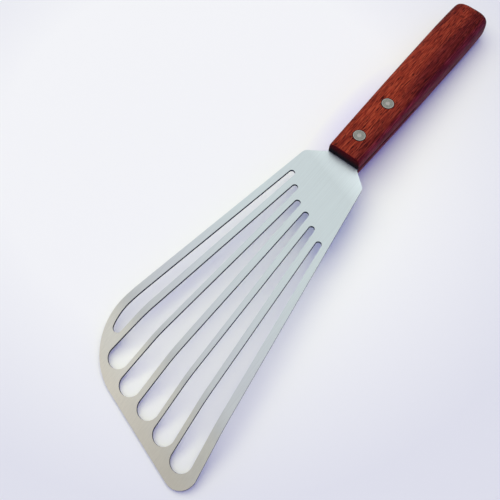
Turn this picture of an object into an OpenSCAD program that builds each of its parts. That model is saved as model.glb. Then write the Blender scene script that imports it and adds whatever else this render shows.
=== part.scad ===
// Fish spatula: one stamped steel blade with six fanned slots and a half tang,
// riveted into a sawn wooden handle. It lies on a table, the blade's front edge
// and the handle's butt touching it. +X runs from the butt to the blade's front.

/* [Steel sheet] */
// Thickness of the sheet
sheet_t = 1.2; // [0.8:0.1:2]
// Width of the tang, and of the neck where the steel leaves the wood
tang_w = 17.2; // [12:0.1:17.4]
// Length of the tang inside the handle
tang_len = 47; // [44:0.5:70]

/* [Blade outline] */
// Distance from the wood to the corners of the shoulders
shoulder_x = 6; // [4:0.5:10]
// Half width at the shoulder, on the side of the round corner
shoulder_left = 17.7; // [14:0.1:22]
// Half width at the shoulder, on the side of the tip
shoulder_right = 16.3; // [14:0.1:22]
// Radius of the shoulder corners
shoulder_r = 4; // [1:0.5:8]
// Angle at which the left edge spreads away from the handle's line
left_angle = 10.2; // [8.5:0.1:12]
// Angle at which the right edge spreads away from the handle's line
right_angle = 8.6; // [7.5:0.1:12]
// Distance from the wood to the front edge, along the handle's line
front_x = 155.3; // [145:0.1:180]
// Slant of the front edge
front_slant = 17.6; // [10:0.1:24]
// Radius of the large round corner
corner_r = 31.5; // [26:0.5:34]
// Radius of the tip
tip_r = 7.8; // [5:0.1:11]

/* [Slots] */
// How far behind the wood the slots' middle lines meet
fan_back = 85.4; // [80:0.1:95]
// How far the point where they meet lies to the tip's side
fan_side = 3.2; // [1:0.1:4]
// Angle of the first slot, beside the left edge
fan_first_angle = -9.87; // [-10.2:0.01:-9.5]
// Angle from one slot to the next
fan_step_angle = 3.2; // [3.1:0.05:3.3]
// Distance from the wood to the middle of the first slot's narrow end
slot_first = 19.5; // [17:0.1:22]
// Distance along the blade from there to the second slot's narrow end
slot_step = 5.2; // [4:0.1:6]
// Radius of a slot's narrow end
slot_r_narrow = 1.6; // [1:0.1:2.2]
// Radius of a slot's wide end
slot_r_wide = 5.3; // [3.5:0.1:5.5]
// Steel left between a wide end and the front edge
slot_rim = 5.2; // [4:0.1:8]
// Where the first slot's inner wall has its knee
turn_x = 109; // [100:1:112]
// Distance of the knee from the first slot's middle line
turn_r = 4.1; // [2.5:0.1:4.4]
// Radius of the first slot's far end
turn_end_r = 2.4; // [1.5:0.1:2.7]
// Steel left between the first slot and the round corner
turn_rim = 3.6; // [3:0.1:6]

/* [Bends] */
// Angle between the handle and the blade
neck_angle = 6.5; // [0:0.5:14]
// Radius of the bend at the neck, in the middle of the sheet
neck_r = 4; // [2:0.5:8]
// Distance from the wood to the bend of the front lip
lip_x = 121.8; // [110:0.1:135]
// Slant of the lip's bend line
lip_slant = 16.7; // [8:0.1:20]
// Angle by which the lip is turned down
lip_angle = 16; // [5:0.5:22]
// Radius of the lip's bend, in the middle of the sheet
lip_r = 34; // [15:1:50]

/* [Handle] */
// Length of the handle
handle_len = 117; // [105:1:140]
// Half width at the blade's end
half_w_front = 8.8; // [8.7:0.1:11]
// Half width at the swell
half_w_swell = 10.2; // [9.5:0.1:13]
// Half width at the butt
half_w_butt = 9.7; // [8.7:0.1:12]
// Half thickness at the blade's end
half_t_front = 7.2; // [6:0.1:9]
// Half thickness at the swell
half_t_swell = 8.4; // [7:0.1:10]
// Half thickness at the butt
half_t_butt = 7.8; // [6:0.1:9]
// Length of the rounded butt
butt_round = 5; // [3:0.5:14]
// Depth of the rounding on the front face's edges
front_round = 1.4; // [0.5:0.1:2.5]

/* [Rivets] */
// Distance from the front of the handle to the first rivet
rivet_x = 12; // [8:0.1:16]
// Distance between the two rivets
rivet_gap = 23.8; // [18:0.1:26]
// Radius of a rivet's head
head_r = 3.25; // [2.8:0.05:4.5]
// Thickness of a rivet's head
head_t = 1.4; // [1:0.1:2]
// Height of the head's crown
head_crown = 0.25; // [0.1:0.05:0.5]
// How far the head's rim stands above the wood
head_proud = 0.1; // [0:0.05:0.3]
// Radius of the hollow half's tube
tube_r = 2.2; // [1.8:0.05:2.5]
// Radius of the other half's pin
pin_r = 1.4; // [1:0.05:1.6]

/* [Fits] */
// Clearance on each side of the tang in its saw slot
slot_fit = 0.05; // [0.02:0.01:0.2]
// Clearance round a rivet's head and tube
rivet_fit = 0.05; // [0.02:0.01:0.2]

/* [Hidden] */
$fn = 96;

// Steps from the first slot's narrow end to each slot's, left to right
slot_steps = [0, 1, 2.08, 2.58, 3.38, 4.19];
slot_start = [for (steps = slot_steps) slot_first + slot_step * steps];
// Share of slot_rim left in front of each wide end; the first slot has its own end
rim_share = [0, 1.21, 0.77, 1, 0.96, 1];
// Small turn of each slot away from an even fan
slot_aim = [0, 0.17, 0.15, 0.25, 0.12, 0];
slot_last = len(slot_start) - 1;
// Place of the first slot's far end round the large corner's centre
turn_angle = -76;

// How far the saw slot runs on behind the tang
saw_end = 0.5;
// How far each round stands over the straight lines that it joins, so that they cross
bite = 0.02;
// Room around the sheet for the solids that cut it
past = 60;
// Points round one section of the handle, and sections along it
ring_points = 56;
ring_count = 22;
// Where the handle is widest, as a share of its length, and how the taper curves
swell_at = 0.79;
taper_power = 1.5;
// Squareness of the handle's section at its front, and where it is oval
square_front = 5;
square_butt = 3.4;
oval_at = 0.65;
// Squareness of the rounded butt, seen from above and from the side
butt_square = 3.3;
// Share of the section that is left flat at the front face
front_flat = 0.87;
rivets = [-rivet_x, -rivet_x - rivet_gap];

function unit(a) = [cos(a), sin(a)];

// Where the line through p at angle a meets the line through q at angle b
function meet(p, a, q, b) =
    let (t = ((q.x - p.x) * sin(b) - (q.y - p.y) * cos(b)) / sin(b - a))
    p + t * unit(a);

// Centre and the two touching points of a round of radius r in the corner at b
function round_centre(a, b, c, r) =
    let (u = (a - b) / norm(a - b), v = (c - b) / norm(c - b), w = (u + v) / norm(u + v))
    b + w * r / sqrt((1 - u * v) / 2);
function round_start(a, b, c, r) =
    let (u = (a - b) / norm(a - b), m = round_centre(a, b, c, r) - b) b + u * (u * m);

// The blade's corners before rounding, and their radii
neck_right = [0, tang_w / 2];
neck_left = [0, -tang_w / 2];
corner_right = [shoulder_x, shoulder_right];
corner_left = [shoulder_x, -shoulder_left];
front_mid = [front_x, 0];
tip_point = meet(corner_right, right_angle, front_mid, 90 - front_slant);
big_point = meet(corner_left, -left_angle, front_mid, 90 - front_slant);
corners = [corner_left, big_point, tip_point, corner_right];
radii = [shoulder_r, corner_r, tip_r, shoulder_r];
loop = [neck_left, each corners, neck_right];
tip_centre = round_centre(corner_right, tip_point, big_point, tip_r);
big_centre = round_centre(tip_point, big_point, corner_left, corner_r);

// The fan of slots
fan_point = [-fan_back, fan_side];
front_normal = unit(-front_slant);
function slot_angle(i) = fan_first_angle + fan_step_angle * i + slot_aim[i];
function on_ray(i, x) = fan_point + unit(slot_angle(i)) * (x + fan_back) / cos(slot_angle(i));
function wide_end(i) =
    let (reach = (front_mid - fan_point) * front_normal - slot_r_wide - slot_rim * rim_share[i])
    fan_point + unit(slot_angle(i)) * reach / cos(slot_angle(i) + front_slant);

// The handle, in its own frame: the sheet's middle is z = 0, the front face x = 0
function swell(u, front, middle, butt) =
    u < swell_at
        ? middle - (middle - front) * pow(1 - u / swell_at, taper_power)
        : middle - (middle - butt) * pow((u - swell_at) / (1 - swell_at), 2);
function half_w(x) = swell(-x / handle_len, half_w_front, half_w_swell, half_w_butt);
function half_t(x) = swell(-x / handle_len, half_t_front, half_t_swell, half_t_butt);
function squareness(x) =
    square_butt + (square_front - square_butt) * max(0, 1 + x / handle_len / oval_at);
function butt_scale(q) = pow(max(0, 1 - pow(q, butt_square)), 1 / butt_square);
// Each station is [x, scale of the section]
front_stations = [for (k = [0:4]) let (q = k / 4)
    [-front_round * q * q, 1 - (1 - front_flat) * (1 - q) * (1 - q)]];
body_len = handle_len - front_round - butt_round;
body_stations = [for (k = [1:ring_count]) [-front_round - body_len * k / ring_count, 1]];
butt_stations = [for (q = [0.3, 0.5, 0.65, 0.77, 0.86, 0.93, 0.975, 0.995])
    [-handle_len + butt_round * (1 - q), butt_scale(q)]];
stations = concat(front_stations, body_stations, butt_stations);
function bow(c, p) = sign(c) * pow(abs(c), p);
function section(s) =
    let (x = s[0], p = 2 / squareness(x))
    [for (k = [0:ring_points - 1]) let (a = 360 * k / ring_points)
        [x, half_w(x) * s[1] * bow(cos(a), p), half_t(x) * s[1] * bow(sin(a), p)]];
handle_skin = [for (s = stations) each section(s)];

// From the handle's frame to the blade's: the neck's bend
function bend_neck(p) =
    let (c = cos(neck_angle), s = sin(neck_angle), r = neck_r)
    [p.x * c - p.z * s - r * s, p.y, p.x * s + p.z * c - r * (1 - c)];

tang_end = bend_neck([-tang_len, 0, 0]).x;

// The lip's lower face at a place beyond its bend
lip_normal = unit(-lip_slant);
lip_at = lip_x * cos(lip_slant);
function lip_bottom(p) =
    [p.x, p.y, -(p * lip_normal - lip_at) * tan(lip_angle) - sheet_t / 2 / cos(lip_angle)];

// How the spatula lies: on the two ends of its front edge and on its butt
function plane_normal(a, b, c) = let (n = cross(b - a, c - a)) n / norm(n);
foot_left = lip_bottom(round_start(tip_point, big_point, corner_left, corner_r));
foot_tip = lip_bottom(round_start(big_point, tip_point, corner_right, tip_r));
butt_guess = bend_neck([-handle_len + butt_round, 0, -half_t_butt]);
guess = plane_normal(foot_left, butt_guess, foot_tip);
upward = guess * sign(guess.z);
butt_heights = [for (p = handle_skin) bend_neck(p) * upward];
butt_touch = bend_neck(handle_skin[search(min(butt_heights), butt_heights)[0]]);
rest = plane_normal(foot_left, butt_touch, foot_tip);
table_normal = rest * sign(rest.z);
tilt_axis = cross(table_normal, [0, 0, 1]);
tilt = acos(table_normal.z);
function turned(p) =
    let (k = tilt_axis / norm(tilt_axis))
    p * cos(tilt) + cross(k, p) * sin(tilt) + k * (k * p) * (1 - cos(tilt));
butt_end = turned(bend_neck([-handle_len, 0, 0]));
front_end = turned(lip_bottom(tip_centre + [tip_r, 0]));
tip_side = turned(lip_bottom(tip_centre + [0, tip_r]));
corner_side = turned(lip_bottom(big_centre - [0, corner_r]));
middle = [(butt_end.x + front_end.x) / 2, (tip_side.y + corner_side.y) / 2, turned(foot_tip).z];

module lying() {
    translate(-middle) rotate(a = tilt, v = tilt_axis) children();
}

module on_handle() {
    translate(bend_neck([0, 0, 0])) rotate([0, -neck_angle, 0]) children();
}

// A convex corner's round, as the full circle that fits in it
module corner_rounds() {
    for (k = [0:len(corners) - 1])
        translate(round_centre(loop[k], loop[k + 1], loop[k + 2], radii[k]))
            circle(radii[k] + bite);
}

module outline() {
    polygon([
        neck_left,
        for (k = [0:len(corners) - 1]) each [
            round_start(loop[k], loop[k + 1], loop[k + 2], radii[k]),
            round_start(loop[k + 2], loop[k + 1], loop[k], radii[k])
        ],
        neck_right
    ]);
    corner_rounds();
    translate([tang_end, -tang_w / 2]) square([0.01 - tang_end, tang_w]);
}

// Direction in which the wall that touches two round ends lies from their centres:
// side is 1 for the wall on the left of a-to-b, -1 for the one on its right
function wall(a, ra, b, rb, side) =
    atan2(b.y - a.y, b.x - a.x) + side * (90 + asin((rb - ra) / norm(b - a)));

// A slot that opens evenly between its two round ends
module slot(a, ra, b, rb) {
    left = unit(wall(a, ra, b, rb, 1));
    right = unit(wall(a, ra, b, rb, -1));
    polygon([a + ra * left, a + ra * right, b + rb * right, b + rb * left]);
    translate(a) circle(ra + bite);
    translate(b) circle(rb + bite);
}

// The first slot: its outer wall follows the round corner, and its inner wall has a knee
module first_slot() {
    start = on_ray(0, slot_start[0]);
    narrow = slot_r_narrow;
    curve = corner_r - turn_rim;
    end = big_centre + (curve - turn_end_r) * unit(turn_angle);
    knee = on_ray(0, turn_x) + turn_r * unit(slot_angle(0) + 90);
    outer = wall(start, narrow, big_centre, curve, -1);
    polygon([
        start + narrow * unit(wall(start, narrow, knee, 0, 1)),
        start + narrow * unit(outer),
        big_centre + curve * unit(outer),
        big_centre + curve * unit(turn_angle),
        end + turn_end_r * unit(wall(knee, 0, end, turn_end_r, 1)),
        knee
    ]);
    translate(start) circle(narrow + bite);
    translate(end) circle(turn_end_r + 2 * bite);
    translate(big_centre) intersection() {
        circle(curve + bite);
        polygon([
            0.95 * curve * unit(outer - 4), 1.1 * curve * unit(outer - 4),
            1.1 * curve * unit(turn_angle), 0.95 * curve * unit(turn_angle)
        ]);
    }
}

module slots() {
    first_slot();
    for (i = [1:slot_last])
        slot(on_ray(i, slot_start[i]), slot_r_narrow, wide_end(i), slot_r_wide);
}

// Everything under a sheet that is flat for x > 0 and turns down by angle for x < 0,
// as far as reach; side is the face's height over the middle of the sheet
module under_bend(radius, angle, side, reach) {
    turn = [0, -radius] + (radius + side) * unit(90 + angle);
    fall = turn + 2 * reach * unit(180 + angle);
    polygon([
        [3 * reach, -reach], [3 * reach, side], [0, side],
        turn, fall, [fall.x, -reach]
    ]);
    translate([0, -radius]) circle(radius + side + bite);
}

// Everything under one face of the bent sheet
module under_sheet(side, reach) {
    intersection() {
        rotate([90, 0, 0]) linear_extrude(2 * reach, center = true)
            under_bend(neck_r, neck_angle, side, reach);
        rotate([0, 0, -lip_slant]) translate([lip_at - lip_r * tan(lip_angle / 2), 0, 0])
            rotate([90, 0, 180]) linear_extrude(4 * reach, center = true)
                under_bend(lip_r, lip_angle, side, reach);
    }
}

module sheet() {
    difference() {
        under_sheet(sheet_t / 2, past);
        under_sheet(-sheet_t / 2, 1.2 * past);
    }
}

module through_sheet() {
    translate([0, 0, -past / 2]) linear_extrude(past) children();
}

module blade() {
    color([0.78, 0.8, 0.78]) lying() difference() {
        intersection() {
            sheet();
            through_sheet() outline();
        }
        through_sheet() slots();
        on_handle() for (x = rivets)
            translate([x, 0, 0]) cylinder(h = past, r = tube_r + rivet_fit, center = true);
    }
}

module handle_body() {
    n = ring_points;
    last = len(stations) - 1;
    polyhedron(handle_skin, [
        [for (k = [0:n - 1]) k],
        for (j = [0:last - 1]) for (k = [0:n - 1])
            [j * n + k, (j + 1) * n + k, (j + 1) * n + (k + 1) % n, j * n + (k + 1) % n],
        [for (k = [n - 1:-1:0]) last * n + k]
    ]);
}

// Height of a rivet's rim over the middle of the sheet
function rim_z(x) = half_t(x) + head_proud;

module handle() {
    color([0.47, 0.17, 0.09]) lying() on_handle() difference() {
        handle_body();
        translate([-tang_len - saw_end, -past / 2, -sheet_t / 2 - slot_fit])
            cube([tang_len + saw_end + 1, past, sheet_t + 2 * slot_fit]);
        for (x = rivets) translate([x, 0, 0]) {
            cylinder(h = past, r = tube_r + rivet_fit, center = true);
            for (face = [0, 1]) mirror([0, 0, face])
                translate([0, 0, rim_z(x) - head_t]) cylinder(h = past, r = head_r + rivet_fit);
        }
    }
}

// A head with a low crown, its rim at z = 0
module rivet_head() {
    crown_r = (head_r * head_r + head_crown * head_crown) / 2 / head_crown;
    translate([0, 0, -head_t]) cylinder(h = head_t, r = head_r);
    rotate_extrude() intersection() {
        translate([0, head_crown - crown_r]) circle(crown_r, $fn = 360);
        translate([0, -head_t / 2]) square([head_r, head_t]);
    }
}

// The hollow halves, entered from below
module rivet_sockets() {
    color([0.7, 0.71, 0.66]) lying() on_handle() for (x = rivets) translate([x, 0, 0]) {
        rim = rim_z(x);
        mirror([0, 0, 1]) translate([0, 0, rim]) rivet_head();
        translate([0, 0, head_t - rim]) difference() {
            cylinder(h = 2 * (rim - head_t) - rivet_fit, r = tube_r);
            translate([0, 0, head_t]) cylinder(h = past, r = pin_r + rivet_fit);
        }
    }
}

// The halves with the solid pin, driven in from above
module rivet_pins() {
    color([0.7, 0.71, 0.66]) lying() on_handle() for (x = rivets) translate([x, 0, 0]) {
        rim = rim_z(x);
        translate([0, 0, rim]) rivet_head();
        translate([0, 0, 2 * head_t - rim + rivet_fit])
            cylinder(h = 2 * rim - 3 * head_t, r = pin_r);
    }
}

blade();
handle();
rivet_sockets();
rivet_pins();
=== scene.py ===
import math
import bmesh
import bpy
from mathutils import Matrix, Vector


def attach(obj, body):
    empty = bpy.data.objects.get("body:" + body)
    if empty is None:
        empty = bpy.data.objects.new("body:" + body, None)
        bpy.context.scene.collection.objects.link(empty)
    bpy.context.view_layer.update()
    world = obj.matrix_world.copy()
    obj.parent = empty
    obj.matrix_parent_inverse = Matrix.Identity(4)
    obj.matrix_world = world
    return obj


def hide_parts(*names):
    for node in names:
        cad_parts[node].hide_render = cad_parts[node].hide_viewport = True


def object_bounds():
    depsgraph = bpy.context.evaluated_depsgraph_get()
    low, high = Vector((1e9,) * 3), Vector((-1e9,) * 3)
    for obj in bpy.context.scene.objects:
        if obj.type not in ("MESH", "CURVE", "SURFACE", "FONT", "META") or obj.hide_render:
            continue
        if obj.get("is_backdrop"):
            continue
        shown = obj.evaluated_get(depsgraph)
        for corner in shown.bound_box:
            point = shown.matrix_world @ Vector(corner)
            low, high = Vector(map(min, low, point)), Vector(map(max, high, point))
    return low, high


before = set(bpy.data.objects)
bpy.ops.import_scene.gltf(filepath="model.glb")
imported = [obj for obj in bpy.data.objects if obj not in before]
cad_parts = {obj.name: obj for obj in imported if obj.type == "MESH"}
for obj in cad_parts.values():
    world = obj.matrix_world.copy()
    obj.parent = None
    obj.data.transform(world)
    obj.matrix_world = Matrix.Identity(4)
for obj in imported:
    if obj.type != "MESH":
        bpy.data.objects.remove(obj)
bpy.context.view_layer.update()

# ---- Blade -------------------------------------------------------------------------
# One piece of stainless sheet, stamped to its fan shape with six slots that widen to
# the front. It is folded down a little at the neck and along the slanted lip, and its
# tang goes on into the handle. The punched edges are tumbled smooth; their upper rims are
# painted brighter as a highlight, and their walls painted dark as shade.
mm = 0.001
sheet = 1.2 * mm
tang_half, tang_end, neck_length = 8.6 * mm, -47.0 * mm, 8 * mm
# Rounds of the outline in millimetres: place and radius, then the sides each is drawn with
round_corner = (120.269, -6.2544)
blade_corners = [(8.3957, -14.0668, 4.0, 96), round_corner + (31.5, 256),
                 (157.031, 31.2526, 7.8, 128), (8.175, 12.5834, 4.0, 96)]
# Middles of the narrow and the wide end of the second to the sixth slot, and their radii
slot_ends = [((24.7, -9.3443), (136.147, -22.042)), ((30.316, -3.5127), (142.363, -10.0125)),
             ((32.916, 3.1587), (145.274, 3.1195)), ((37.076, 9.7259), (149.488, 15.7155)),
             ((41.288, 16.8061), (153.436, 28.8507))]
slot_narrow, slot_wide = 1.6, 5.3
# The first slot has a knee in its inner wall, and its outer wall is part of a circle
# inside the round corner. The part from arc_from to arc_to is used, up to arc_inside.
first_start, first_knee, first_end = (19.5, -15.0514), (109.648, -26.899, 0.32), (126.438, -30.997)
first_wide, first_arc = 2.4, 27.9
arc_from, arc_joint, arc_to, arc_inside = 115.42, 119.0, 127.0, -32.9
# A punch is twice as long as the sheet is thick, and the slots' walls lean by this share.
punch_length, slot_lean = 2.4 * mm, 0.15
tang_holes, tang_hole = (-12.376, -36.023), 2.35
neck_turn, neck_radius, neck_fold = math.radians(6.5), 4 * mm, 0.52 * mm
lip_turn, lip_radius, lip_fold = math.radians(16), 34 * mm, 9.372 * mm
lip_from, lip_slant = 111.885 * mm, -16.7
lip_across = Vector((math.cos(math.radians(lip_slant)), math.sin(math.radians(lip_slant)), 0))
# How the flat sheet is turned and moved to lie on the table as the spatula does
lie_turn, lie_about = math.radians(2.54815), Vector((0.0176629, 0.0407997, 0))
lie_at = Vector((-23.5787, -0.79078, 16.1515)) * mm


def pick_only(piece):
    bpy.ops.object.select_all(action="DESELECT")
    bpy.context.view_layer.objects.active = piece
    piece.select_set(True)


def apply_place():
    bpy.ops.object.transform_apply(location=True, rotation=True, scale=True)


def disc(x, y, r, sides=64, height=sheet, lean=0.0):
    """A disc standing in the sheet, at a place given in millimetres. One that leans has
    its radius at the sheet's upper face and gets narrower downwards."""
    below, above = -(height + sheet) / 2, (height - sheet) / 2
    bpy.ops.mesh.primitive_cone_add(
        vertices=sides, radius1=r * mm + lean * below, radius2=r * mm + lean * above,
        depth=height, location=(x * mm, y * mm, 0))
    return bpy.context.object


def hulled(discs, name):
    """The sheet or punch whose outline runs round these discs like a tight belt."""
    bpy.ops.object.select_all(action="DESELECT")
    for d in discs:
        d.select_set(True)
    bpy.context.view_layer.objects.active = discs[0]
    if len(discs) > 1:
        bpy.ops.object.join()
    whole = bpy.context.object
    whole.name = name
    apply_place()
    bpy.ops.object.mode_set(mode="EDIT")
    bpy.ops.mesh.select_all(action="SELECT")
    bpy.ops.mesh.convex_hull()
    bpy.ops.mesh.select_all(action="SELECT")
    bpy.ops.mesh.dissolve_limited(angle_limit=math.radians(0.2))
    bpy.ops.mesh.normals_make_consistent(inside=False)
    bpy.ops.object.mode_set(mode="OBJECT")
    return whole


def cut_away(piece, tools):
    """Cuts each tool's shape out of the piece, and throws the tool away."""
    for tool in tools:
        pick_only(piece)
        cut = piece.modifiers.new("cut", "BOOLEAN")
        cut.operation, cut.solver, cut.object = "DIFFERENCE", "EXACT", tool
        bpy.ops.object.modifier_apply(modifier=cut.name)
        bpy.data.objects.remove(tool, do_unlink=True)


def soften(piece, name, width, sharp):
    """Adds a small round along every edge sharper than this many degrees."""
    edge = piece.modifiers.new(name, "BEVEL")
    edge.width, edge.segments = width, 2
    edge.limit_method, edge.angle_limit = "ANGLE", math.radians(sharp)
    return edge


def lay_down(piece, held=Matrix()):
    """Moves a finished piece from the sheet's own frame to where the spatula lies."""
    piece.matrix_world = Matrix.Translation(lie_at) @ Matrix.Rotation(lie_turn, 4, lie_about) @ held
    pick_only(piece)
    apply_place()


bpy.ops.object.select_all(action="DESELECT")
rounds = [disc(*corner) for corner in blade_corners]
bpy.ops.mesh.primitive_cube_add(size=1, location=(neck_length / 2, 0, 0))
neck_block = bpy.context.object
neck_block.scale = (neck_length, 2 * tang_half, sheet)
blade = hulled(rounds + [neck_block], "blade_sheet")

# The tang is drawn out of the neck's end face.
bpy.ops.object.mode_set(mode="EDIT")
bpy.ops.mesh.select_mode(type="FACE")
bpy.ops.mesh.select_all(action="DESELECT")
shape = bmesh.from_edit_mesh(blade.data)
for face in shape.faces:
    face.select_set(face.normal.x < -0.99 and face.calc_center_median().x < 0.1 * mm)
bmesh.update_edit_mesh(blade.data)
bpy.ops.mesh.extrude_region_move(TRANSFORM_OT_translate={"value": (tang_end, 0, 0)})
# Rows of edges across the sheet, close together where it is to be folded
fold_lines = [(Vector((-neck_fold * k / 4, 0, 0)), Vector((1, 0, 0))) for k in range(5)]
fold_lines += [(lip_across * (lip_from + lip_fold * k / 16), lip_across) for k in range(17)]
for at, across in fold_lines:
    bpy.ops.mesh.select_all(action="SELECT")
    bpy.ops.mesh.bisect(plane_co=at, plane_no=across, use_fill=False)
bpy.ops.object.mode_set(mode="OBJECT")

# The slots' walls lean: the punch came from below and the steel broke wider above it.
punches = []
for narrow_end, wide_end in slot_ends:
    punches.append(hulled([disc(*narrow_end, slot_narrow, 64, punch_length, slot_lean),
                           disc(*wide_end, slot_wide, 96, punch_length, slot_lean)], "punch"))
# The first slot runs along the round corner: two punches that meet at its knee.
for last_x, far_end in ((arc_joint, first_start + (slot_narrow,)),
                        (arc_to, first_end + (first_wide,))):
    arc = disc(*round_corner, first_arc, 256, punch_length, slot_lean)
    apply_place()
    bpy.ops.object.mode_set(mode="EDIT")
    for at, away in (((arc_from, 0, 0), (-1, 0, 0)), ((last_x, 0, 0), (1, 0, 0)),
                     ((0, arc_inside, 0), (0, 1, 0))):
        bpy.ops.mesh.select_all(action="SELECT")
        bpy.ops.mesh.bisect(plane_co=Vector(at) * mm, plane_no=away,
                            clear_outer=True, use_fill=True)
    bpy.ops.object.mode_set(mode="OBJECT")
    punches.append(hulled([arc, disc(*first_knee, 24, punch_length, slot_lean),
                           disc(*far_end, 64, punch_length, slot_lean)], "punch"))
for x in tang_holes:
    punches.append(hulled([disc(x, 0, tang_hole, 48, 8 * mm)], "punch"))
cut_away(blade, punches)


def fold(side, past, radius, turn):
    """Drop of the sheet's face at a distance past the start of a fold."""
    if past <= 0:
        return 0
    arc = (radius + side) * math.sin(turn)
    if past < arc:
        return math.sqrt((radius + side) ** 2 - past ** 2) - radius - side
    return (radius + side) * (math.cos(turn) - 1) - (past - arc) * math.tan(turn)


for v in blade.data.vertices:
    side = math.copysign(sheet / 2, v.co.z)
    v.co.z = (side + fold(side, -v.co.x, neck_radius, neck_turn)
              + fold(side, v.co.dot(lip_across) - lip_from, lip_radius, lip_turn))

bpy.ops.object.mode_set(mode="EDIT")
bpy.ops.mesh.select_all(action="SELECT")
bpy.ops.mesh.remove_doubles(threshold=0.03 * mm)
bpy.ops.mesh.normals_make_consistent(inside=False)
bpy.ops.object.mode_set(mode="OBJECT")
# Materials in the blade's slots: 0 its faces, 1 the rims (a painted highlight), 2 the punched walls
# (painted shade)
for face in blade.data.polygons:
    face.material_index = 2 if abs(face.normal.z) < 0.3 else 0
soften(blade, "edge", 0.15 * mm, 40).material = 1


def new_material(name):
    """A material with its node tree, its shader and the piece's own coordinates."""
    made = bpy.data.materials.new(name)
    made.use_nodes = True
    nodes = made.node_tree.nodes
    coordinates = nodes.new("ShaderNodeTexCoord")
    return made, made.node_tree, nodes["Principled BSDF"], coordinates.outputs


def mapped(scale=(1, 1, 1), turn=(0, 0, 0), shift=(0, 0, 0)):
    """The piece's own coordinates, scaled, turned by these degrees and shifted."""
    way = tree.nodes.new("ShaderNodeMapping")
    way.inputs["Rotation"].default_value = [math.radians(angle) for angle in turn]
    way.inputs["Scale"].default_value, way.inputs["Location"].default_value = scale, shift
    tree.links.new(place["Object"], way.inputs["Vector"])
    return way.outputs["Vector"]


def noise(where, scale, detail):
    cloud = tree.nodes.new("ShaderNodeTexNoise")
    cloud.inputs["Scale"].default_value, cloud.inputs["Detail"].default_value = scale, detail
    tree.links.new(where, cloud.inputs["Vector"])
    return cloud.outputs["Fac"]


def parts_of(vector):
    split = tree.nodes.new("ShaderNodeSeparateXYZ")
    tree.links.new(vector, split.inputs["Vector"])
    return split.outputs


def spread(value, low, high, to_low=0.0, to_high=1.0):
    """The value's run from low to high, drawn out or squeezed to run from to_low to to_high."""
    way = tree.nodes.new("ShaderNodeMapRange")
    for name, number in (("From Min", low), ("From Max", high), ("To Min", to_low),
                         ("To Max", to_high)):
        way.inputs[name].default_value = number
    tree.links.new(value, way.inputs["Value"])
    return way.outputs["Result"]


def joined(one, how, other):
    """Two values made into one by ADD, MULTIPLY or MAXIMUM."""
    both = tree.nodes.new("ShaderNodeMath")
    both.operation = how
    tree.links.new(one, both.inputs[0])
    tree.links.new(other, both.inputs[1])
    return both.outputs["Value"]


def rough_surface(height, strength, distance):
    """Fine relief on the surface, with its depth given in metres."""
    bump = tree.nodes.new("ShaderNodeBump")
    bump.inputs["Strength"].default_value = strength
    bump.inputs["Distance"].default_value = distance
    tree.links.new(height, bump.inputs["Height"])
    tree.links.new(bump.outputs["Normal"], shader.inputs["Normal"])


steel, tree, shader, place = new_material("steel")
shader.inputs["Metallic"].default_value = 1.0
# Brushing along the blade, in long, very narrow streaks, and faint cloudy patches where
# it was wiped and used
brushed = noise(mapped((35, 2600, 900)), 1.0, 5.0)
wiped = noise(place["Object"], 26, 4)
# Painted reflection: the metal is cool on the flat and painted greyest in the bend and a
# little straw-coloured on the lip, where the folded faces mirror other parts of the room;
# painted light and shade also make the lip brighter at one end and duller towards the tip.
# Distances run across the bend, in metres.
across = parts_of(mapped(turn=(0, 0, -lip_slant)))
tone = tree.nodes.new("ShaderNodeValToRGB")
tone.name = "tone"
tones = tone.color_ramp.elements
tones[0].color = (0.67, 0.755, 0.742, 1)
tones[1].position, tones[1].color = 0.93, (0.705, 0.675, 0.57, 1)
for at, colour in ((0.45, (0.637, 0.675, 0.686)), (0.56, (0.63, 0.665, 0.66)),
                   (0.65, (0.605, 0.63, 0.61)), (0.74, (0.68, 0.68, 0.6)),
                   (0.85, (0.695, 0.685, 0.6))):
    tones.new(at).color = colour + (1,)
tree.links.new(spread(across["X"], 0.03, 0.13), tone.inputs["Fac"])
# Painted light and shade along the lip: brighter at one end, duller towards the tip.
painted_lip_shade = tree.nodes.new("ShaderNodeMix")
painted_lip_shade.inputs["A"].default_value = 1.0
tree.links.new(spread(across["X"], 0.094, 0.11), painted_lip_shade.inputs["Factor"])
tree.links.new(spread(across["Y"], 0.02, 0.065, 1.13, 0.88), painted_lip_shade.inputs["B"])
shade = joined(spread(brushed, 0, 1, 0.9, 1.08), "MULTIPLY", spread(wiped, 0, 1, 0.93, 1.07))
shade = joined(shade, "MULTIPLY", painted_lip_shade.outputs["Result"])
# Painted highlight: the steel is painted a little brighter right up to the wood, to offset
# the dark end grain mirrored in it.
shade = joined(shade, "MULTIPLY", spread(across["X"], -0.022, -0.012, 1.25, 1.0))
toned = tree.nodes.new("ShaderNodeVectorMath")
toned.operation = "SCALE"
tree.links.new(tone.outputs["Color"], toned.inputs[0])
tree.links.new(shade, toned.inputs["Scale"])
tree.links.new(toned.outputs["Vector"], shader.inputs["Base Color"])
gloss = spread(wiped, 0, 1, 0.36, 0.52)
gloss.node.name = "gloss"
tree.links.new(gloss, shader.inputs["Roughness"])
rough_surface(brushed, 0.25, 0.00002)
blade.data.materials.append(steel)

# The upper rims are the same steel, smoother and painted brighter as a highlight; the punched
# walls and the break round their lower edge are dull and painted dark as shade.
for name, shade, low, high in (("steel_rim", (1.4, 1.4, 1.4), 0.26, 0.36),
                               ("steel_wall", (0.04, 0.042, 0.08), 0.5, 0.7)):
    other = steel.copy()
    other.name = name
    for stop in other.node_tree.nodes["tone"].color_ramp.elements:
        stop.color = tuple(min(1, a * b) for a, b in zip(shade, stop.color)) + (1,)
    gloss = other.node_tree.nodes["gloss"]
    gloss.inputs["To Min"].default_value, gloss.inputs["To Max"].default_value = low, high
    blade.data.materials.append(other)

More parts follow.
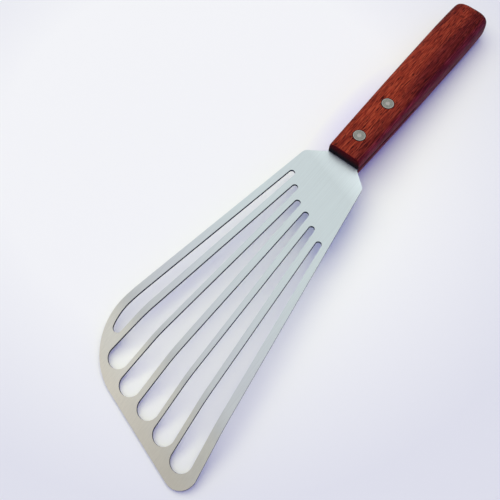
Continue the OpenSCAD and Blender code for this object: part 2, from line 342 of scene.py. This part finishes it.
pick_only(blade)
bpy.ops.object.modifier_apply(modifier="edge")
# The round along the lower edges takes the dark wall steel as painted shade.
for face in blade.data.polygons:
    if face.material_index == 1 and face.normal.z < 0:
        face.material_index = 2
bpy.ops.object.shade_smooth_by_angle(angle=math.radians(28))
even = blade.modifiers.new("even", "WEIGHTED_NORMAL")
even.keep_sharp = True
bpy.ops.object.modifier_apply(modifier="even")
lay_down(blade)
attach(blade, "root")
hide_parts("blade")

# ---- Handle ------------------------------------------------------------------------
# One bar of reddish-brown hardwood, moulded to a flat-sided section at the blade that
# grows rounder and wider to the butt. It is sawn down its middle for the tang, bored
# for the rivets, and oiled.
handle_length, butt_length, front_edge = 117 * mm, 5 * mm, 1.4 * mm
wood_sides = 128
# Half of its width and depth in millimetres: at the front, where widest and at the butt
half_widths, half_depths = (8.8, 10.2, 9.7), (7.2, 8.4, 7.8)
widest_at, butt_round = 0.79, 3.3
# How square the section is at the butt, how much squarer at the front, and where along
# the handle the extra ends
squareness, front_squareness, square_until = 3.4, 1.6, 0.65
saw_middle, saw_cut = -22.75 * mm, (49.5 * mm, 60 * mm, 1.3 * mm)
bore_radius, seat_radius, seat_drill, seat_rise = 2.25, 3.3 * mm, 10 * mm, 3.6 * mm
# Each rivet's place along the handle, and how high over the saw cut the wood is there
rivet_places = [(-12.0 * mm, 7.52593 * mm), (-35.8 * mm, 7.92452 * mm)]


def swell(u, front, middle, butt):
    if u < widest_at:
        return middle - (middle - front) * (1 - u / widest_at) ** 1.5
    return middle - (middle - butt) * ((u - widest_at) / (1 - widest_at)) ** 2


def half_width(x):
    return swell(-x / handle_length, *half_widths) * mm


def half_depth(x):
    return swell(-x / handle_length, *half_depths) * mm


def bow(c, power):
    return math.copysign(abs(c) ** power, c)


# Places along the handle, and how much of the full section each one has
cuts = [(-front_edge * q * q, 1 - 0.13 * (1 - q) ** 2) for q in [k / 6 for k in range(7)]]
length = handle_length - front_edge - butt_length
cuts += [(-front_edge - length * k / 40, 1) for k in range(1, 41)]
cuts += [(-handle_length + butt_length * (1 - q), (1 - q ** butt_round) ** (1 / butt_round))
         for q in (0.2, 0.35, 0.5, 0.62, 0.73, 0.82, 0.89, 0.94, 0.97, 0.987, 0.996)]

bpy.ops.object.select_all(action="DESELECT")
bpy.ops.mesh.primitive_circle_add(vertices=wood_sides, radius=1, fill_type="NOTHING",
                                  rotation=(0, math.pi / 2, 0))
handle = bpy.context.object
handle.name = "wooden_handle"
apply_place()
bpy.ops.object.mode_set(mode="EDIT")
bpy.ops.mesh.select_mode(type="VERT")
bpy.ops.mesh.select_all(action="SELECT")
wide, deep, at = 1.0, 1.0, 0.0
for k, (x, share) in enumerate(cuts):
    if k:
        bpy.ops.mesh.extrude_region_move(TRANSFORM_OT_translate={"value": (x - at, 0, 0)})
    else:
        bpy.ops.transform.translate(value=(x, 0, 0))
    new_wide, new_deep = half_width(x) * share, half_depth(x) * share
    bpy.ops.transform.resize(value=(1, new_wide / wide, new_deep / deep),
                             center_override=(x, 0, 0))
    wide, deep, at = new_wide, new_deep, x
bpy.ops.mesh.select_all(action="DESELECT")
bpy.ops.mesh.select_non_manifold()
bpy.ops.mesh.edge_face_add()
bpy.ops.mesh.select_all(action="SELECT")
bpy.ops.mesh.normals_make_consistent(inside=False)
bpy.ops.object.mode_set(mode="OBJECT")
# The round sections are pressed out towards squares: most at the blade, least at the butt.
for v in handle.data.vertices:
    share = min(cuts, key=lambda cut: abs(cut[0] - v.co.x))[1]
    w, d = half_width(v.co.x) * share, half_depth(v.co.x) * share
    nearer_blade = max(0, 1 + v.co.x / handle_length / square_until)
    power = 2 / (squareness + front_squareness * nearer_blade)
    v.co.y, v.co.z = w * bow(v.co.y / w, power), d * bow(v.co.z / d, power)

bpy.ops.mesh.primitive_cube_add(size=1, location=(saw_middle, 0, 0))
saw = bpy.context.object
saw.scale = saw_cut
apply_place()
bores = [saw]
for x, rim in rivet_places:
    bores.append(disc(x / mm, 0, bore_radius, 64, 40 * mm))
    for way in (1, -1):
        bpy.ops.mesh.primitive_cylinder_add(vertices=96, radius=seat_radius, depth=seat_drill,
                                            location=(x, 0, way * (rim + seat_rise)))
        bores.append(bpy.context.object)
for bore in bores:
    pick_only(bore)
    apply_place()
cut_away(handle, bores)

wood, tree, shader, place = new_material("wood")
shader.inputs["Specular IOR Level"].default_value = 0.045


def grain(scale, detail, seed, turn=4.0):
    """Noise drawn out along the handle, which lies a few degrees off the table."""
    return noise(mapped(scale, (0, turn, -1.5), (seed, seed * 1.7, seed * 0.6)), 1.0, detail)


def laid_over(below, above, amount, how="MIX"):
    """One colour over another. Each is three numbers or comes from other nodes."""
    mix = tree.nodes.new("ShaderNodeMix")
    mix.data_type, mix.blend_type = "RGBA", how
    for socket, colour in (("A", below), ("B", above)):
        if isinstance(colour, tuple):
            mix.inputs[socket].default_value = colour + (1,)
        else:
            tree.links.new(colour, mix.inputs[socket])
    tree.links.new(amount, mix.inputs["Factor"])
    return mix.outputs["Result"]


def measured(vector, how, other=(0, 0, 0)):
    """A vector's LENGTH, or its DISTANCE from the other or DOT_PRODUCT with it."""
    rule = tree.nodes.new("ShaderNodeVectorMath")
    rule.operation, rule.inputs[1].default_value = how, other
    tree.links.new(vector, rule.inputs[0])
    return rule.outputs["Value"]


bands = grain((8, 90, 90), 3, 3.1)
fibres = grain((95, 2100, 2100), 5, 1.3)
pores = grain((190, 2600, 2600), 2, 7.7)
body = laid_over((0.275, 0.035, 0.015), (0.15, 0.015, 0.009), spread(bands, 0.4, 0.6))
body = laid_over(body, (0.42, 0.08, 0.035), spread(fibres, 0.5, 0.68, 0, 0.75))
body = laid_over(body, (0.06, 0.006, 0.006), spread(fibres, 0.5, 0.32, 0, 0.8))
body = laid_over(body, (0.015, 0.002, 0.003), spread(pores, 0.44, 0.34, 0, 0.9))
# Painted shade darkens the handle towards the tip's side, where it rounds away from the light;
# it is also darker in one patch two thirds of the way back, towards the butt and at random.
where = parts_of(place["Object"])
out_of_patch = measured(mapped((38, 111, 0), shift=(3.8, -0.4, 0)), "LENGTH")
shade_and_dark_patches = joined(spread(where["Y"], -0.0015, 0.0085, 0, 0.9),
               "ADD", spread(out_of_patch, 1.3, 0.4, 0, 0.65))
shade_and_dark_patches = joined(shade_and_dark_patches, "ADD", spread(where["X"], -0.1, -0.135, 0, 0.4))
shade_and_dark_patches = joined(shade_and_dark_patches, "ADD", spread(grain((12, 150, 150), 3, 5.2), 0.3, 0.7, -0.3, 0.2))
body = laid_over(body, (0.42, 0.34, 0.65), shade_and_dark_patches, "MULTIPLY")
# Painted reflection: the side wall there, turned to the tip's side, is tinted towards purple,
# for the violet shade of the card that it mirrors.
facing_tip = parts_of(place["Normal"])["Y"]
body = laid_over(body, (1.3, 0.85, 3.3), spread(facing_tip, 0.35, 0.9), "MULTIPLY")
tree.links.new(body, shader.inputs["Base Color"])
tree.links.new(spread(fibres, 0.2, 0.8, 0.62, 0.48), shader.inputs["Roughness"])
rough_surface(spread(pores, 0.27, 0.42), 0.5, 0.00012)
handle.data.materials.append(wood)

# End grain drinks more oil and is darker; it is painted darker still as shade, since the
# end faces turn from the light, and painted black as shade where it meets the steel.
end_grain, tree, shader, place = new_material("end_grain")
shader.inputs["Specular IOR Level"].default_value = 0.05
shader.inputs["Roughness"].default_value = 0.6
cells = noise(place["Object"], 1500, 3)
upwards = parts_of(place["Object"])["Z"]
dark = laid_over((0.09, 0.004, 0.008), (0.04, 0.002, 0.004), spread(cells, 0.35, 0.65))
# Painted shade: near-black low down on the end face, where it meets the steel.
dark = laid_over((0.004, 0.002, 0.006), dark, spread(upwards, 0.0185, 0.0215))
tree.links.new(dark, shader.inputs["Base Color"])
handle.data.materials.append(end_grain)

pick_only(handle)
soften(handle, "worn", 0.12 * mm, 60)
bpy.ops.object.modifier_apply(modifier="worn")
for face in handle.data.polygons:
    at_an_end = face.center.x > -2 * mm or face.center.x < -handle_length + butt_length
    if abs(face.normal.x) > 0.55 and at_an_end:
        face.material_index = 1
bpy.ops.object.shade_smooth_by_angle(angle=math.radians(32))
# From the handle's own frame, with its sawn plane at z = 0, to the bent neck
on_neck = (Matrix.Translation(Vector((-0.452813, 0, -0.0257126)) * mm)
           @ Matrix.Rotation(-neck_turn, 4, "Y"))
lay_down(handle, on_neck)
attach(handle, "root")
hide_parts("handle")

# ---- Rivets ------------------------------------------------------------------------
# Two-part cutlery rivets of stainless steel. A solid half with a pin comes from above
# and is driven into a hollow half from below. The heads are turned, with a low crown,
# a ring round the rim and a small centre, and they sit level with the wood.
head_radius, head_thick, head_sides = 3.25 * mm, 1.4 * mm, 96
pin_radius, tube_radius, tube_wall, gap = 1.4 * mm, 2.2 * mm, 0.75 * mm, 0.05 * mm
# Radius and height in millimetres of each ring of the turned face, from the rim inwards
rim_height = -0.04
face_rings = [(3.05, -0.2), (2.95, 0.06), (2.6, 0.12), (2.4, 0.0), (1.15, 0.04), (1.0, 0.16),
              (0.5, 0.2), (0.4, 0.14), (0.2, 0.14)]


def select_end(piece, way):
    """Selects the flat faces that end the piece in one direction along its axis."""
    bpy.ops.mesh.select_all(action="DESELECT")
    shape = bmesh.from_edit_mesh(piece.data)
    reach = max(way * v.co.z for v in shape.verts) - 1e-6
    for face in shape.faces:
        face.select_set(way * face.normal.z > 0.99 and way * face.calc_center_median().z > reach)
    bmesh.update_edit_mesh(piece.data)


def turned_head(name):
    """A rivet head whose rim is at z = 0, left in edit mode."""
    bpy.ops.object.select_all(action="DESELECT")
    bpy.ops.mesh.primitive_cylinder_add(
        vertices=head_sides, radius=head_radius, depth=head_thick + rim_height * mm,
        location=(0, 0, -head_thick / 2 + rim_height / 2 * mm))
    head = bpy.context.object
    head.name = name
    apply_place()
    bpy.ops.object.mode_set(mode="EDIT")
    bpy.ops.mesh.select_mode(type="FACE")
    select_end(head, 1)
    radius, height = head_radius / mm, rim_height
    for new_radius, new_height in face_rings:
        inwards = (radius - new_radius) * mm * math.cos(math.pi / head_sides)
        bpy.ops.mesh.inset(thickness=inwards, depth=0)
        bpy.ops.transform.translate(value=(0, 0, (new_height - height) * mm))
        radius, height = new_radius, new_height
    # Rim and centre show the plain satin steel; the dished ring between them is painted
    # darker as shade in its hollow, and the groove round the rim is painted near-black as shade.
    shape = bmesh.from_edit_mesh(head.data)
    for face in shape.faces:
        away = max(v.co.xy.length for v in face.verts) / mm
        if face.normal.z > 0.1 and face.calc_center_median().z > -0.3 * mm:
            face.material_index = 1 if 1.2 < away < 2.65 else 2 if away > 3.0 else 0
    bmesh.update_edit_mesh(head.data)
    return head


def draw_out(by):
    bpy.ops.mesh.extrude_region_move(TRANSFORM_OT_translate={"value": (0, 0, by)})


def lengthened(piece, by):
    """Moves the far end of a rivet's pin or tube on, for thicker wood."""
    pick_only(piece)
    bpy.ops.object.mode_set(mode="EDIT")
    bpy.ops.mesh.select_all(action="DESELECT")
    shape = bmesh.from_edit_mesh(piece.data)
    for v in shape.verts:
        v.select_set(v.co.z < -head_thick - 0.5 * mm)
    shape.select_flush_mode()
    bmesh.update_edit_mesh(piece.data)
    bpy.ops.transform.translate(value=(0, 0, -by))
    bpy.ops.object.mode_set(mode="OBJECT")


satin, tree, shader, place = new_material("rivet_steel")
shader.inputs["Metallic"].default_value = 1.0
dull = noise(place["Object"], 1400, 4)
rubbed_or_shaded = laid_over((0.38, 0.37, 0.33), (0.5, 0.48, 0.44), spread(dull, 0.3, 0.7))
rubbed_or_shaded.node.name = "rubbed_or_shaded"
tree.links.new(rubbed_or_shaded, shader.inputs["Base Color"])
tree.links.new(spread(dull, 0.3, 0.7, 0.3, 0.44), shader.inputs["Roughness"])
rough_surface(dull, 0.2, 0.00003)
rivet_steels = [satin]
# Copies painted darker as shade: the dished ring, and the groove nearly black.
for name, low, high in (("rivet_dish", (0.21, 0.22, 0.19), (0.33, 0.34, 0.3)),
                        ("rivet_groove", (0.02, 0.015, 0.015), (0.05, 0.03, 0.03))):
    other = satin.copy()
    other.name = name
    mix = other.node_tree.nodes["rubbed_or_shaded"]
    mix.inputs["A"].default_value, mix.inputs["B"].default_value = low + (1,), high + (1,)
    rivet_steels.append(other)

first_rim, second_rim = rivet_places[0][1], rivet_places[1][1]
pin = turned_head("rivet_pin_front")
select_end(pin, -1)
bpy.ops.mesh.inset(thickness=head_radius - pin_radius, depth=0)
draw_out(-(2 * first_rim - 4 * head_thick - gap))
bpy.ops.object.mode_set(mode="OBJECT")

socket = turned_head("rivet_socket_front")
select_end(socket, -1)
bpy.ops.mesh.inset(thickness=head_radius - tube_radius, depth=0)
tube = 2 * (first_rim - head_thick) - gap
draw_out(-tube)
bpy.ops.mesh.inset(thickness=tube_wall, depth=0)
draw_out(tube - head_thick)
bpy.ops.object.mode_set(mode="OBJECT")

for first, node, facing in ((pin, "rivet_pins", 1), (socket, "rivet_sockets", -1)):
    second = first.copy()
    second.data = first.data.copy()
    second.name = first.name.replace("front", "back")
    bpy.context.collection.objects.link(second)
    lengthened(second, 2 * (second_rim - first_rim))
    for piece, (x, rim) in zip((first, second), rivet_places):
        for metal in rivet_steels:
            piece.data.materials.append(metal)
        pick_only(piece)
        bpy.ops.object.shade_smooth_by_angle(angle=math.radians(20))
        turn = Matrix() if facing == 1 else Matrix.Rotation(math.pi, 4, "X")
        lay_down(piece, on_neck @ Matrix.Translation((x, 0, facing * rim)) @ turn)
        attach(piece, "root")
        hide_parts(node)

# ---- Table, light and camera -------------------------------------------------------
# A smooth pale sheet of card under the spatula. One large soft lamp hangs over it, a
# little to the handle's left, in a violet room that is brightest overhead. Steel mirrors
# a pale room of its own and not the lamp, so its tones stay even.
bpy.ops.object.select_all(action="DESELECT")
bpy.ops.mesh.primitive_plane_add(size=3, location=(0, 0, 0))
table = bpy.context.object
table.name = "table"
card, tree, shader, place = new_material("card")
# Painted light falloff: the card is painted darker further from a point beside the spatula.
from_middle = measured(place["Object"], "DISTANCE", (0, -0.064, 0))
paper = laid_over((0.89, 0.922, 0.77), (0.75, 0.78, 0.685), spread(from_middle, 0.105, 0.178))
# Painted shadow: it is greyer and more violet in a strip beside the handle's front half.
out_of_strip = measured(mapped((30, 120, 0), shift=(1.6, 1.62, 0)), "LENGTH")
paper = laid_over(paper, (0.87, 0.86, 1.06), spread(out_of_strip, 1.5, 0.5), "MULTIPLY")
tree.links.new(paper, shader.inputs["Base Color"])
shader.inputs["Roughness"].default_value = 0.9
shader.inputs["Specular IOR Level"].default_value = 0.1


def camera_or_mirror(rays):
    """1 for what the camera sees, straight or in the metal, and 0 for other light."""
    return joined(rays["Is Camera Ray"], "MAXIMUM", rays["Is Glossy Ray"])


# A painted violet glow, seen by the camera and in the metal, tints the card even in shadow;
# this lights nothing.
seen_card = camera_or_mirror(tree.nodes.new("ShaderNodeLightPath").outputs)
tree.links.new(spread(seen_card, 0, 1, 0, 0.12), shader.inputs["Emission Strength"])
shader.inputs["Emission Color"].default_value = (0.05, 0.03, 1, 1)
table.data.materials.append(card)
table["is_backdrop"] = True

world = bpy.data.worlds.new("room")
bpy.context.scene.world = world
world.use_nodes = True
tree = world.node_tree
room = tree.nodes["Background"]
room.inputs["Color"].default_value = (0.362, 0.338, 1.0, 1)
# The room is brightest overhead and a little to the lamp's side, and dark low down.
direction = tree.nodes.new("ShaderNodeTexCoord").outputs["Generated"]
overhead = measured(direction, "DOT_PRODUCT", (0, -0.2, 0.98))
tree.links.new(spread(overhead, 0.0, 1.0, 0.055, 1.02), room.inputs["Strength"])
# The room that is seen is white to the camera. What the metal mirrors of it is darker
# low down, and a little darker beyond the blade's front.
seen_room = tree.nodes.new("ShaderNodeBackground")
rays = tree.nodes.new("ShaderNodeLightPath").outputs
tree.links.new(joined(spread(overhead, -0.1, 0.6, 0.2, 1.0), "MAXIMUM", rays["Is Camera Ray"]),
               seen_room.inputs["Strength"])
tree.links.new(spread(parts_of(direction)["X"], -0.5, 0.7, 1.0, 0.78), seen_room.inputs["Color"])
blend = tree.nodes.new("ShaderNodeMixShader")
tree.links.new(camera_or_mirror(rays), blend.inputs["Fac"])
tree.links.new(room.outputs["Background"], blend.inputs[1])
tree.links.new(seen_room.outputs["Background"], blend.inputs[2])
tree.links.new(blend.outputs["Shader"], tree.nodes["World Output"].inputs["Surface"])

lamp_data = bpy.data.lights.new("soft_lamp", "AREA")
lamp_data.shape, lamp_data.size, lamp_data.size_y = "RECTANGLE", 3.2, 2.8
lamp_data.color, lamp_data.energy = (1.0, 0.99, 0.5), 64
lamp = bpy.data.objects.new("soft_lamp", lamp_data)
bpy.context.collection.objects.link(lamp)
lamp.visible_glossy = False
lamp_from = Vector((-0.2, -0.55, 2.3))
lamp.matrix_world = (Matrix.Translation(lamp_from)
                     @ lamp_from.to_track_quat("Z", "Y").to_matrix().to_4x4())

camera_data = bpy.data.cameras.new("camera")
camera_data.lens, camera_data.sensor_width = 61.2, 36
camera_data.clip_start = 0.01
camera = bpy.data.objects.new("camera", camera_data)
bpy.context.collection.objects.link(camera)
camera_at = Vector((158.60 * mm, 88.40 * mm, 369.8 * mm))
right = Vector((-0.6225, 0.7826, 0)).normalized()
forward = Vector((-0.30955, -0.24621, -0.9184)).normalized()
upward = right.cross(forward)
camera.matrix_world = (Matrix.Translation(camera_at)
                       @ Matrix((right, upward, -forward)).transposed().to_4x4())
bpy.context.scene.camera = camera
bpy.context.scene.view_settings.view_transform = "Standard"

low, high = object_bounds()
